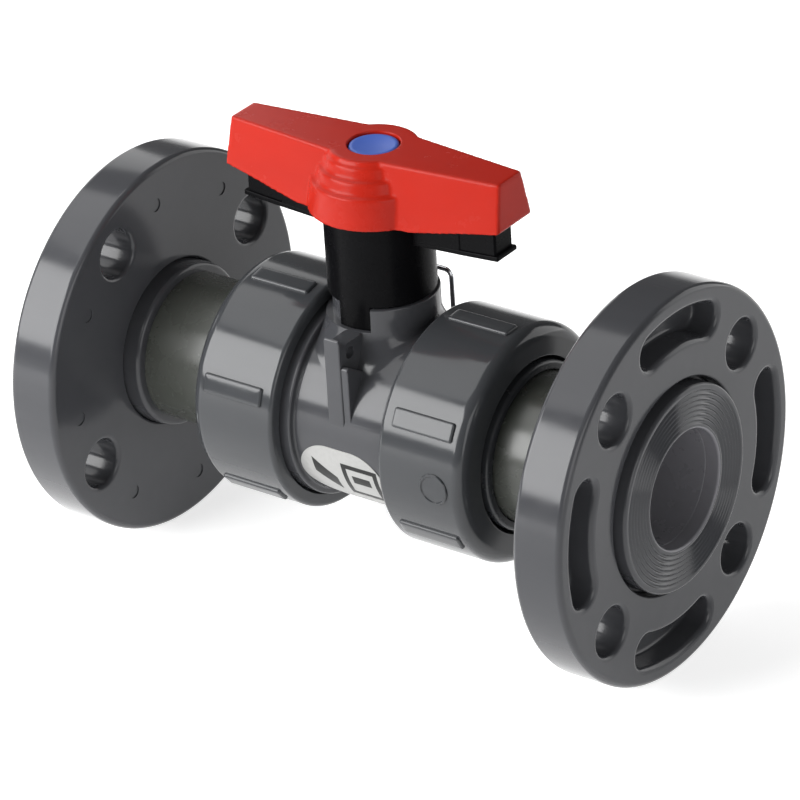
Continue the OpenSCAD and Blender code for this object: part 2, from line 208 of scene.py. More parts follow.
def mouth(face, inward, size, fillet, detail=5):
    """Stations (depth place, size) of a cutter that leaves a rounded mouth on a face."""
    step_off = 0.02
    stations = [(face - inward, size + fillet)]
    for k in range(detail + 1):
        a = pi / 2 * k / detail
        depth = max(step_off, fillet * (1 - cos(a)))
        stations.append((face + inward * depth, size + fillet * (1 - sin(a))))
    return stations


# ---- Meshes ----


def on_pipe(u, r, angle, side=1):
    """A point at distance u along the pipe, at radius r and at an angle from the top to the front."""
    return Vector((MID_X + side * u, -r * sin(angle), r * cos(angle)))


def skin(bm, rings, loop=False):
    """Faces through a row of closed rings of points. loop joins the last ring to the first."""
    rows = [[bm.verts.new(p) for p in ring] for ring in rings]
    pairs = list(zip(rows, rows[1:]))
    if loop:
        pairs.append((rows[-1], rows[0]))
    for low, high in pairs:
        count = len(low)
        for i in range(count):
            j = (i + 1) % count
            bm.faces.new((low[i], low[j], high[j], high[i]))
    if not loop:
        bm.faces.new(list(reversed(rows[0])))
        bm.faces.new(rows[-1])


def lathe(bm, profile, side=1, steps=AROUND):
    """Turns a closed (u, r) outline about the pipe axis."""
    rings = []
    for u, r in profile:
        rings.append([on_pipe(u, r, 2 * pi * k / steps, side) for k in range(steps)])
    skin(bm, rings, loop=True)


def turned(bm, profile, steps=AROUND):
    """Turns a (z, r) outline about the stem axis, with flat ends."""
    rings = []
    for z, r in profile:
        rings.append([Vector((x, y, z)) for x, y in circle(r, steps)])
    skin(bm, rings)


def new_piece(name, bm):
    bmesh.ops.recalc_face_normals(bm, faces=bm.faces)
    mesh = bpy.data.meshes.new(name)
    bm.to_mesh(mesh)
    bm.free()
    piece = bpy.data.objects.new(name, mesh)
    bpy.context.collection.objects.link(piece)
    return piece


def apply_modifiers(piece):
    bpy.context.view_layer.update()
    shape = bpy.data.meshes.new_from_object(piece.evaluated_get(bpy.context.evaluated_depsgraph_get()))
    piece.modifiers.clear()
    old = piece.data
    piece.data = shape
    bpy.data.meshes.remove(old)
    shape.name = piece.name


def combine(piece, other, operation):
    """Adds, cuts or intersects other, which is used up."""
    modifier = piece.modifiers.new(operation.lower(), "BOOLEAN")
    modifier.operation = operation
    modifier.solver = "EXACT"
    modifier.object = other
    apply_modifiers(piece)
    bpy.data.objects.remove(other)


def cut(piece, bm):
    combine(piece, new_piece("cutter", bm), "DIFFERENCE")


def add(piece, bm):
    combine(piece, new_piece("addition", bm), "UNION")


def dress(piece, material, body, nodes=(), sharp=38):
    """Turns a finished shape to metres, shades it, gives it its material, hangs it under its body, and hides
    the CAD parts it stands for.
    """
    piece.data.transform(Matrix.Scale(MM, 4))
    piece.data.shade_smooth()
    piece.data.set_sharp_from_angle(angle=radians(sharp))
    weighted = piece.modifiers.new("weighted normals", "WEIGHTED_NORMAL")
    weighted.keep_sharp = True
    weighted.weight = 80
    piece.data.materials.clear()
    piece.data.materials.append(material)
    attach(piece, body)
    if nodes:
        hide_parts(*nodes)


# ---- Materials ----


class Nodes:
    """A small helper that wires one material's nodes."""

    def __init__(self, name):
        self.material = bpy.data.materials.new(name)
        self.material.use_nodes = True
        self.tree = self.material.node_tree
        self.tree.nodes.clear()
        self.output = self.tree.nodes.new("ShaderNodeOutputMaterial")
        self.surface = self.tree.nodes.new("ShaderNodeBsdfPrincipled")
        self.link(self.surface.outputs[0], self.output.inputs["Surface"])
        self.place = self.tree.nodes.new("ShaderNodeTexCoord").outputs["Object"]

    def link(self, start, end):
        self.tree.links.new(start, end)

    def noise(self, scale, detail=3.0, roughness=0.5, stretch=(1, 1, 1)):
        mapping = self.tree.nodes.new("ShaderNodeMapping")
        mapping.inputs["Scale"].default_value = stretch
        self.link(self.place, mapping.inputs["Vector"])
        node = self.tree.nodes.new("ShaderNodeTexNoise")
        node.inputs["Scale"].default_value = scale
        node.inputs["Detail"].default_value = detail
        node.inputs["Roughness"].default_value = roughness
        self.link(mapping.outputs[0], node.inputs["Vector"])
        return node.outputs["Fac"]

    def ramp(self, value, stops):
        node = self.tree.nodes.new("ShaderNodeValToRGB")
        ramp = node.color_ramp
        ramp.elements[0].position, ramp.elements[0].color = stops[0][0], (*stops[0][1], 1)
        ramp.elements[1].position, ramp.elements[1].color = stops[-1][0], (*stops[-1][1], 1)
        for position, colour in stops[1:-1]:
            ramp.elements.new(position).color = (*colour, 1)
        self.link(value, node.inputs["Fac"])
        return node.outputs["Color"]

    def spread(self, value, low, high):
        node = self.tree.nodes.new("ShaderNodeMapRange")
        node.inputs["From Min"].default_value = 0.3
        node.inputs["From Max"].default_value = 0.7
        node.inputs["To Min"].default_value = low
        node.inputs["To Max"].default_value = high
        self.link(value, node.inputs["Value"])
        return node.outputs[0]

    def bump(self, value, depth_mm, strength=1.0, before=None):
        node = self.tree.nodes.new("ShaderNodeBump")
        node.inputs["Distance"].default_value = depth_mm * MM
        node.inputs["Strength"].default_value = strength
        self.link(value, node.inputs["Height"])
        if before is not None:
            self.link(before, node.inputs["Normal"])
        return node.outputs["Normal"]

    def colour(self, value, stops):
        self.link(self.ramp(value, stops), self.surface.inputs["Base Color"])

    def gloss(self, value, low, high):
        self.link(self.spread(value, low, high), self.surface.inputs["Roughness"])

    def relief(self, normal):
        self.link(normal, self.surface.inputs["Normal"])

    def near_axis(self, outer, radius, inner):
        """Colour that changes to inner closer to the pipe axis than a radius; it carries the painted light
        on the bore walls.
        """
        across = self.tree.nodes.new("ShaderNodeVectorMath")
        across.operation = "MULTIPLY"
        across.inputs[1].default_value = (0, 1, 1)
        self.link(self.place, across.inputs[0])
        length = self.tree.nodes.new("ShaderNodeVectorMath")
        length.operation = "LENGTH"
        self.link(across.outputs["Vector"], length.inputs[0])
        near = self.tree.nodes.new("ShaderNodeMath")
        near.operation = "LESS_THAN"
        near.inputs[1].default_value = radius * MM
        self.link(length.outputs["Value"], near.inputs[0])
        mix = self.tree.nodes.new("ShaderNodeMixRGB")
        mix.inputs["Color2"].default_value = (*inner, 1)
        self.link(near.outputs[0], mix.inputs["Fac"])
        self.link(outer, mix.inputs["Color1"])
        return mix.outputs[0]

    def set(self, **values):
        for name, value in values.items():
            self.surface.inputs[name.replace("_", " ")].default_value = value


def shade(colour, factor):
    return tuple(c * factor for c in colour)


def moulded(name, colour, roughness, grain_mm=0.4, grain_depth=0.003, shine=0.35, flow=0.05, inside=None):
    """Moulded plastic: slow flow marks in the colour, a fine grain, and uneven gloss.

    inside is a radius from the pipe axis and the colour of everything nearer than that; this nearer colour
    is painted light, a lighter bore wall.
    """
    nodes = Nodes(name)
    clouds = nodes.noise(35, detail=4, stretch=(0.5, 1, 1))
    streaks = nodes.noise(160, detail=3, roughness=0.6, stretch=(0.18, 1, 1))
    mix = nodes.tree.nodes.new("ShaderNodeMix")
    mix.data_type = "FLOAT"
    mix.inputs["Factor"].default_value = 0.35
    nodes.link(clouds, mix.inputs["A"])
    nodes.link(streaks, mix.inputs["B"])
    dark, light = shade(colour, 1 - flow), shade(colour, 1 + flow)
    tone = nodes.ramp(mix.outputs["Result"], [(0.36, dark), (0.5, colour), (0.66, light)])
    # Painted light: the bore walls near the pipe axis get a lighter colour than the plastic outside.
    if inside is not None:
        tone = nodes.near_axis(tone, *inside)
    nodes.link(tone, nodes.surface.inputs["Base Color"])
    nodes.gloss(nodes.noise(90, detail=5, roughness=0.65), roughness * 0.82, roughness * 1.25)
    swell = nodes.bump(nodes.noise(60, detail=2), 0.03, 0.3)
    nodes.relief(nodes.bump(nodes.noise(1 / (grain_mm * MM), detail=2), grain_depth, 0.8, before=swell))
    nodes.set(Specular_IOR_Level=shine)
    return nodes.material


def brushed_wire(name, colour):
    """Metal wire with fine marks along its length."""
    nodes = Nodes(name)
    drawn = nodes.noise(900, detail=3, stretch=(1, 1, 0.05))
    nodes.colour(drawn, [(0.3, shade(colour, 0.8)), (0.7, colour)])
    nodes.gloss(drawn, 0.16, 0.34)
    nodes.relief(nodes.bump(drawn, 0.01, 0.6))
    nodes.set(Metallic=1.0)
    return nodes.material


def rubber(name, colour):
    """Matt rubber with a little dust."""
    nodes = Nodes(name)
    dust = nodes.noise(220, detail=6, roughness=0.7)
    nodes.colour(dust, [(0.35, colour), (0.75, shade(colour, 1.8))])
    nodes.gloss(dust, 0.5, 0.75)
    nodes.relief(nodes.bump(nodes.noise(2500, detail=2), 0.01, 0.8))
    return nodes.material


def printed_film(name, colour, roughness):
    """Sticker film, faintly wavy, with a slightly mottled print."""
    nodes = Nodes(name)
    mottle = nodes.noise(700, detail=4, roughness=0.6)
    nodes.colour(mottle, [(0.3, shade(colour, 0.93)), (0.65, colour)])
    nodes.gloss(mottle, roughness * 0.85, roughness * 1.2)
    nodes.relief(nodes.bump(nodes.noise(120, detail=2), 0.04, 0.3))
    nodes.set(Specular_IOR_Level=0.2)
    return nodes.material


# Painted light: a lighter grey on the bore walls, painted where light reaches into the bore, though it is
# the same plastic.
BORE_PAINTED_LIGHT = (BORE_R + 0.6, (0.14, 0.138, 0.15))

GREY = moulded("grey_pvc", (0.041, 0.042, 0.046), 0.14, shine=0.27, inside=BORE_PAINTED_LIGHT)
NUT_GREY = moulded("nut_pvc", (0.034, 0.036, 0.039), 0.13, shine=0.3)
INNER_GREY = moulded("inner_pvc", (0.027, 0.029, 0.032), 0.24, shine=0.25)
PIPE_GREY = moulded("pipe_pvc", (0.046, 0.049, 0.043), 0.26, grain_depth=0.001, shine=0.4, flow=0.03,
                    inside=BORE_PAINTED_LIGHT)
SEAT_WHITE = moulded("seat_plastic", (0.82, 0.81, 0.77), 0.42)
STEM_GREY = moulded("stem_plastic", (0.1, 0.105, 0.11), 0.3)
SEAL_BLACK = rubber("seal_rubber", (0.01, 0.01, 0.011))
BLACK = moulded("black_plastic", (0.0026, 0.0026, 0.003), 0.26, shine=0.035, flow=0.15)
RED = moulded("red_plastic", (0.31, 0.0125, 0.006), 0.24, grain_mm=0.35, grain_depth=0.004, shine=0.1)
BLUE = moulded("blue_plastic", (0.04, 0.09, 0.36), 0.34, shine=0.3)
STEEL = brushed_wire("steel", (0.75, 0.76, 0.78))
LABEL_WHITE = printed_film("label_white", (0.3, 0.3, 0.293), 0.35)
LABEL_INK = printed_film("label_ink", (0.005, 0.005, 0.005), 0.35)


# ---- Flanges, hubs, pipes ----


def local_circle(u, r, centre_angle, centre_r, side, steps=48):
    """Ring of points about an axis parallel to the pipe."""
    middle = on_pipe(u, centre_r, centre_angle, side)
    return [middle + Vector((0, y, z)) for y, z in circle(r, steps)]


def bean(u, half_w, angle, side):
    """Ring of points round a slot that follows the pocket circle."""
    long_steps, end_steps = 24, 14
    points = []
    for end in (1, -1):
        for k in range(long_steps + 1):
            a = angle + end * POCKET_HALF_ANGLE * (2 * k / long_steps - 1)
            points.append(on_pipe(u, POCKET_R + end * half_w, a, side))
        tip = angle + end * POCKET_HALF_ANGLE
        middle = on_pipe(u, POCKET_R, tip, side)
        out = on_pipe(u, POCKET_R + 1, tip, side) - middle
        along = Vector((0, -cos(tip), -sin(tip))) * end
        for k in range(1, end_steps):
            turn = pi * k / end_steps
            points.append(middle + out * (end * half_w * cos(turn)) + along * (half_w * sin(turn)))
    return points


def pocket_cutter(bm, angle, side, fillet):
    """Cutter for a kidney-shaped pocket with a rounded mouth, drafted walls and a rounded floor."""
    floor_fillet, draft, floor_steps = 1.3, 0.35, 4
    floor_u = RING_FACE_U - POCKET_DEPTH
    stations = mouth(RING_FACE_U, -1, POCKET_HALF_W, fillet)
    for k in range(floor_steps + 1):
        a = pi / 2 * k / floor_steps
        u = floor_u + floor_fillet * (1 - sin(a))
        half_w = POCKET_HALF_W - draft - floor_fillet * (1 - cos(a))
        stations.append((u, half_w))
    skin(bm, [bean(u, half_w, angle, side) for u, half_w in stations])


def mark_cutter(bm, angle, side):
    """Cutter for a shallow round mark on a ring's back."""
    mark_r, mark_depth, mark_ring_r, draft = 2.4, 0.35, 51, 0.15
    stations = [(RING_BACK_U - 1, mark_r), (RING_BACK_U + mark_depth, mark_r - draft)]
    skin(bm, [local_circle(u, r, angle, mark_ring_r, side, 32) for u, r in stations])


def loose_ring(side, end, node, body):
    """Flange ring that turns on its hub, with bolt holes, and pockets between them."""
    hole_fillet, pocket_fillet = 1.5, 1.9
    mark_angle = radians(19.5)
    ring_bore_r = HUB_BARREL_R + 0.2
    recess_floor_u = HUB_FACE_U - HUB_PLATE_T - 0.1
    bm = bmesh.new()
    lathe(bm, rounded([
        (RING_BACK_U, ring_bore_r, 1.0),
        (RING_BACK_U, RING_R, 2.0),
        (RING_FACE_U, RING_R, 2.0),
        (RING_FACE_U, RECESS_R, 0.9),
        (recess_floor_u, RECESS_R, 0.8),
        (recess_floor_u, ring_bore_r, 0.3)]), side)
    ring = new_piece(end + "_loose_flange", bm)
    bm = bmesh.new()
    holes = bolt_holes(end)
    for place in holes:
        angle = atan2(-place.y, place.z)
        stations = mouth(RING_BACK_U, 1, BOLT_HOLE_R, hole_fillet)
        stations += list(reversed(mouth(RING_FACE_U, -1, BOLT_HOLE_R, hole_fillet)))
        skin(bm, [local_circle(u, r, angle, BOLT_R, side) for u, r in stations])
        angle -= pi / len(holes)
        pocket_cutter(bm, angle, side, pocket_fillet)
        for way in (-1, 1):
            mark_cutter(bm, angle + way * mark_angle, side)
    cut(ring, bm)
    dress(ring, GREY, body, [node])


def hub(side, name, node):
    """Hub glued on the pipe, with fine grooves round its sealing face."""
    groove_count, groove_pitch, groove_depth, groove_from = 7, 1.6, 0.6, 20.3
    groove_steps, crest_sharpness = 8, 0.8
    face_round, mouth_round, collar_round = 1.1, 0.8, 1.5
    plate_u = HUB_FACE_U - HUB_PLATE_T
    socket_r, socket_end_u = PIPE_R + 0.02, PIPE_OUT_U + 0.02
    outline = rounded([
        (HUB_END_U, socket_r, 0),
        (HUB_END_U, HUB_BARREL_R, collar_round),
        (plate_u, HUB_BARREL_R, 0),
        (plate_u, HUB_PLATE_R, 0.5),
        (HUB_FACE_U, HUB_PLATE_R, face_round),
        (HUB_FACE_U, BORE_R, 0)], closed=False)[:-1]
    for k in range(groove_count * groove_steps, -1, -1):
        depth = groove_depth * (0.5 - 0.5 * cos(2 * pi * k / groove_steps)) ** crest_sharpness
        outline.append((HUB_FACE_U - depth, groove_from + groove_pitch * k / groove_steps))
    outline += rounded([
        (HUB_FACE_U, HUB_PLATE_R, 0),
        (HUB_FACE_U, BORE_R, mouth_round),
        (HUB_END_U, BORE_R, 0)], closed=False)[1:-1]
    outline += [(socket_end_u, BORE_R), (socket_end_u, socket_r)]
    bm = bmesh.new()
    lathe(bm, outline, side)
    dress(new_piece(name, bm), GREY, "valve", [node], sharp=60)


def pipe(side, name, node):
    """Stub between a socket end and its hub."""
    bm = bmesh.new()
    lathe(bm, rounded([
        (PIPE_IN_U, BORE_R, 0.5),
        (PIPE_IN_U, PIPE_R, 0.8),
        (PIPE_OUT_U, PIPE_R, 0.8),
        (PIPE_OUT_U, BORE_R, 0.4)]), side)
    dress(new_piece(name, bm), PIPE_GREY, "valve", [node])


# ---- Unions ----


def connector(side, name, node):
    """Socket end held by the nut, with the groove for the face ring."""
    plate_t, socket_u, socket_r = 6, 41, PIPE_R + 0.02
    groove_half_w, groove_depth = 1, 2
    ring_high = box_mm("outlet_face_ring")[1]
    groove_r = ring_high.z - groove_half_w
    groove_in_r, groove_out_r = groove_r - groove_half_w, groove_r + groove_half_w
    bm = bmesh.new()
    lathe(bm, rounded([
        (CONN_FACE_U, BORE_R, 0.4),
        (CONN_FACE_U, groove_in_r, 0.2),
        (CONN_FACE_U + groove_depth, groove_in_r, 0.2),
        (CONN_FACE_U + groove_depth, groove_out_r, 0.2),
        (CONN_FACE_U, groove_out_r, 0.2),
        (CONN_FACE_U, CONN_PLATE_R, 0.5),
        (CONN_FACE_U + plate_t, CONN_PLATE_R, 0.8),
        (CONN_FACE_U + plate_t, CONN_BARREL_R, 0.1),
        (CONN_END_U, CONN_BARREL_R, 1.2),
        (CONN_END_U, socket_r, 0.9),
        (socket_u, socket_r, 0),
        (socket_u, BORE_R, 0.2)]), side)
    dress(new_piece(name, bm), INNER_GREY, "valve", [node])


def soft_block(place, half_w, half_l, corner, root, top, edge, detail=4):
    """Rings of a low rounded block. place(a, b, h) gives a point at (a, b) on its outline and height h."""
    least_corner = 0.05
    levels = [(0, root, corner)]
    for k in range(detail + 1):
        t = pi / 2 * k / detail
        inset = edge * (1 - cos(t))
        levels.append((inset, top - edge * (1 - sin(t)), max(corner - inset, least_corner)))
    for share in (0.65, 0.3):
        inset = edge + (half_w - edge) * (1 - share)
        levels.append((inset, top, least_corner))
    rings = []
    for inset, level, radius in levels:
        outline = rounded_rectangle(half_w - inset, half_l - inset, radius)
        rings.append([place(a, b, level) for a, b in outline])
    return rings


def round_badge(bm):
    """Plain raised disc with a rim, on the outlet nut."""
    angle, middle_u, badge_r, rim_h, root = radians(90), 41.5, 5.2, 0.6, -0.6
    section = [(badge_r, root), (badge_r, 0.3), (badge_r - 0.25, rim_h), (badge_r - 0.7, rim_h),
               (badge_r - 1.0, 0.2), (0.2, 0.25)]
    skin(bm, [[on_pipe(middle_u + du, NUT_R + h, angle + across / NUT_R) for du, across in circle(r, 48)]
              for r, h in section])


def union_nut(side, name, pad_angle, node, body):
    """Nut with a rounded outer end, a funnel round the socket end, and grip pads."""
    pad_count, pad_half_w, pad_h, pad_in_u, pad_len = 6, 3.15, 0.9, 24.6, 22.4
    pad_corner, pad_edge, pad_root = 0.9, 0.75, -0.6
    funnel, mouth_depth, mouth_flare = 2.2, 1.6, 0.7
    lip_u = CONN_FACE_U + 6.1
    lip_r = CONN_BARREL_R + 0.1
    bm = bmesh.new()
    lathe(bm, rounded([
        (NUT_IN_U, NUT_BORE_R + mouth_flare, 0.4),
        (NUT_IN_U, NUT_R, 1.5),
        (NUT_OUT_U, NUT_R, 4.5),
        (NUT_OUT_U, lip_r + funnel / 2, 0.7),
        (NUT_OUT_U - funnel, lip_r, 0.4),
        (lip_u, lip_r, 0),
        (lip_u, NUT_BORE_R, 0.3),
        (NUT_IN_U + mouth_depth, NUT_BORE_R, 0.3)], detail=8), side)
    nut = new_piece(name, bm)
    bm = bmesh.new()
    middle_u = pad_in_u + pad_len / 2
    for i in range(pad_count):
        turn = pad_angle + 2 * pi * i / pad_count

        def place(a, b, h):
            return on_pipe(middle_u + b, NUT_R + h, turn + a / NUT_R, side)

        skin(bm, soft_block(place, pad_half_w, pad_len / 2, pad_corner, pad_root, pad_h, pad_edge))
    if side == 1:
        round_badge(bm)
    add(nut, bm)
    dress(nut, NUT_GREY, body, [node])


# ---- Body ----


def barrel(bm):
    """Barrel with a threaded end at each side and the bore through it."""
    thread_pitch, thread_depth, thread_count = 4, 1.3, 3
    thread_u, end_chamfer, end_in_r = SHOULDER_U + 7, 0.6, 28
    half = rounded([
        (0, BARREL_R, 0),
        (SHOULDER_U, BARREL_R, 0.7),
        (SHOULDER_U, THREAD_R, 0.7),
        (thread_u, THREAD_R, 0)], closed=False)[1:]
    for i in range(thread_count):
        start = thread_u + i * thread_pitch
        for du, dr in [(0.6, 1), (1.4, 1), (2, 0), (thread_pitch - 0.4, 0)]:
            half.append((start + du, THREAD_R - dr * thread_depth))
    half += [(CONN_FACE_U - end_chamfer, THREAD_R), (CONN_FACE_U, THREAD_R - end_chamfer),
             (CONN_FACE_U, end_in_r + 2), (CONN_FACE_U, end_in_r)]
    outline = [(-u, r) for u, r in reversed(half)] + half
    lathe(bm, outline)


def neck_blend(bm):
    """Round neck that flares into the barrel, more to the front and back than along the pipe."""
    flare_front, flare_side, sink = 7.5, 1.8, 1.4
    rim = [(NECK_R - 0.5, NECK_Z), (NECK_R - 0.15, NECK_Z - 0.15), (NECK_R, NECK_Z - 0.5)]
    nut_gap = 0.15
    low_x = MID_X - NUT_IN_U + nut_gap
    high_x = MID_X + NUT_IN_U - nut_gap
    steps, blend_steps = 144, 12
    top = [[] for _ in rim]
    blend = [[] for _ in range(blend_steps + 1)]
    foot = []
    for k in range(steps):
        a = 2 * pi * k / steps
        across = abs(sin(a))
        flare = flare_side + (flare_front - flare_side) * across ** 1.5

        def barrel_z(r):
            return sqrt(max(BARREL_R ** 2 - (r * sin(a)) ** 2, 0))

        def at(r, z):
            return Vector((min(max(r * cos(a), low_x), high_x), r * sin(a), z))

        end_r = NECK_R + flare
        rise = flare * (1.0 + 0.9 * across)
        start = Vector((NECK_R, barrel_z(NECK_R) + rise))
        end = Vector((end_r, barrel_z(end_r) - 0.05))
        slope = (barrel_z(end_r) - barrel_z(end_r - 0.1)) / 0.1
        corner = Vector((NECK_R, end.y - (end_r - NECK_R) * slope))
        for ring, (r, z) in zip(top, rim):
            ring.append(at(r, z))
        for j, ring in enumerate(blend):
            t = j / blend_steps
            p = start * (1 - t) ** 2 + corner * (2 * t * (1 - t)) + end * t ** 2
            ring.append(at(p.x, p.y))
        foot.append(at(end_r, barrel_z(end_r) - sink))
    skin(bm, top + blend + [foot])


def sector(bm, r_in, r_out, start, stop, z_low, z_high, steps=24):
    """Part of an upright ring between two angles from +X towards +Y."""
    section = []
    for k in range(steps + 1):
        a = start + (stop - start) * k / steps
        section.append([Vector((r * cos(a), r * sin(a), z)) for r, z in
                        [(r_in, z_low), (r_out, z_low), (r_out, z_high), (r_in, z_high)]])
    skin(bm, section)


def fin_part(bm, part):
    """Upright web on the front of the neck, or the gusset beside it."""
    web_half_t, gusset_t = 2.9, 2.4
    back_y, foot_z, front_foot_z = -12, 10, 6
    if part == "web":
        web_top_z, shoulder_z = 36.8, 33.8
        x_from, x_to, edge = EYE.x - web_half_t, EYE.x + web_half_t, 0.7
        outline = rounded([
            (back_y, foot_z, 0),
            (BODY_FRONT_Y, front_foot_z, 1.0),
            (BODY_FRONT_Y, web_top_z, 0.8),
            (BODY_FRONT_Y + 5, web_top_z, 2),
            (-17, shoulder_z, 2),
            (back_y, shoulder_z, 0)])
    else:
        front_y = BODY_FRONT_Y + 0.5
        x_from, x_to, edge = EYE.x, EYE.x + web_half_t + gusset_t, 0.6
        outline = rounded([
            (back_y, foot_z, 0),
            (front_y, front_foot_z, 0.6),
            (front_y, 28.5, 1.2),
            (-21, 23, 2),
            (back_y, 22, 0)])
    middle = sum((Vector(p) for p in outline), Vector((0, 0))) / len(outline)
    bevel = edge * 0.3
    rings = []
    for x, inset in [(x_from, edge), (x_from + bevel, bevel), (x_from + edge, 0),
                     (x_to - edge, 0), (x_to - bevel, bevel), (x_to, edge)]:
        ring = []
        for p in outline:
            away = Vector(p) - middle
            q = middle + away * (1 - inset / away.length)
            ring.append(Vector((x, q.x, q.y)))
        rings.append(ring)
    skin(bm, rings)


def valve_body():
    """Body: barrel, neck, spigot, web and gusset, cut out for what it holds."""
    bm = bmesh.new()
    barrel(bm)
    body = new_piece("body_casting", bm)
    bm = bmesh.new()
    neck_blend(bm)
    add(body, bm)
    bm = bmesh.new()
    edge = 0.8
    turned(bm, [(NECK_Z - 4, SPIGOT_R), (SPIGOT_Z - edge, SPIGOT_R), (SPIGOT_Z, SPIGOT_R - edge)])
    add(body, bm)
    for part in ("web", "gusset"):
        bm = bmesh.new()
        fin_part(bm, part)
        add(body, bm)
    # Inside: the cavity for the ball and its seats, the stem hole and the stop gap
    seat_x, seat_r, cavity_x, cavity_r, stem_hole_r = -22.6, 25.5, -14, 28, 8.6
    past = 1
    inlet_x, outlet_x = MID_X - CONN_FACE_U, MID_X + CONN_FACE_U
    bm = bmesh.new()
    cavity = [(inlet_x - past, BORE_R), (seat_x, BORE_R), (seat_x, seat_r),
              (cavity_x, seat_r), (cavity_x, cavity_r), (outlet_x + past, cavity_r)]
    skin(bm, [[Vector((x, y, z)) for y, z in circle(r, 96)] for x, r in cavity])
    cut(body, bm)
    bm = bmesh.new()
    turned(bm, [(0, stem_hole_r), (SPIGOT_Z + past, stem_hole_r)], steps=64)
    cut(body, bm)
    bm = bmesh.new()
    play = radians(1)
    gap_from, gap_to = TAB_FROM - pi / 2 - play, TAB_TO + play
    sector(bm, TAB_IN_R - 0.1, NECK_R + 12, gap_from, gap_to, TAB_Z - 0.2, NECK_Z + past)
    cut(body, bm)
    bm = bmesh.new()
    reach = 6
    skin(bm, [[Vector((x, EYE.y + y, EYE.z + z)) for y, z in circle(EYE_R, 32)]
              for x in (EYE.x - reach, EYE.x + reach)])
    cut(body, bm)
    dress(body, GREY, "valve", ["valve_body"], sharp=32)


def barrel_patch(name, columns, r_in, r_out, centre_angle):
    """Thin patch on the barrel.

    columns is a row of (x, low, high), with low and high as lengths round the barrel from centre_angle.
    """
    across = 10
    bm = bmesh.new()
    layers = []
    for r in (r_in, r_out):
        grid = []
        for x, low, high in columns:
            row = [low + (high - low) * j / across for j in range(across + 1)]
            grid.append([bm.verts.new(on_pipe(x, r, centre_angle + length / BARREL_R)) for length in row])
        layers.append(grid)
    for grid in layers:
        for one, two in zip(grid, grid[1:]):
            for j in range(across):
                bm.faces.new((one[j], one[j + 1], two[j + 1], two[j]))
    rims = []
    for grid in layers:
        between = grid[1:-1]
        far_side = [row[-1] for row in between]
        near_side = [row[0] for row in reversed(between)]
        rims.append(grid[0] + far_side + list(reversed(grid[-1])) + near_side)
    for i in range(len(rims[0])):
        j = (i + 1) % len(rims[0])
        bm.faces.new((rims[0][i], rims[0][j], rims[1][j], rims[1][i]))
    return new_piece(name, bm)


def spans(edges, x_from, x_to, steps):
    """Columns for a patch. edges(x) gives its low and high edge at x."""
    columns = []
    for k in range(steps + 1):
        x = x_from + (x_to - x_from) * (0.5 - 0.5 * cos(pi * k / steps))
        low, high = edges(x)
        columns.append((x, low, high))
    return columns


def flow_label():
    """White sticker on the front of the barrel with a plain slanted mark and a plain framed mark."""
    angle = radians(114.5)
    half_w, half_l, film, sink = 12.0, 16.6, 0.22, 0.1
    end = half_l - half_w
    least_reach = 0.4

    def stadium(x):
        reach = sqrt(max(half_w ** 2 - max(abs(x) - end, 0) ** 2, least_reach ** 2))
        return -reach, reach

    columns = spans(stadium, -half_l, half_l, 48)
    sticker = barrel_patch("label_film", columns, BARREL_R - sink, BARREL_R + film, angle)
    dress(sticker, LABEL_WHITE, "valve", ["flow_label"])
    ink_in, ink_out = BARREL_R + film - 0.02, BARREL_R + film + 0.03

    def ink(name, columns):
        dress(barrel_patch(name, columns, ink_in, ink_out, angle), LABEL_INK, "valve")

    def diamond(x):
        middle_x, slant, below, above = -7.2, 0.85, 3.2, 3.0
        return (x - middle_x) * slant - below, (x - middle_x) * slant + above

    ink("label_arrow", spans(diamond, -11.2, -3.2, 10))
    left, right, low, high, bar = 0.0, 12, -7.2, 7.2, 1.7
    ink("label_frame_left", [(left, low, high), (bar, low, high)])
    ink("label_frame_top", [(bar, low, low + bar), (right, low, low + bar)])
    ink("label_frame_foot", [(bar, high - bar, high), (right, high - bar, high)])
    ink("label_frame_right", [(right, low, high), (right + bar, low, high)])
    ink("label_bar", [(3.4, -2.9, 0.4), (10.2, -2.9, 0.4)])


# ---- Lever ----


def under_z(x):
    """Height of the cover's underside at a distance from the stem."""
    rise = 0.16
    return HUB_LOW_Z + max(0, x - HUB_LOW_R) * rise


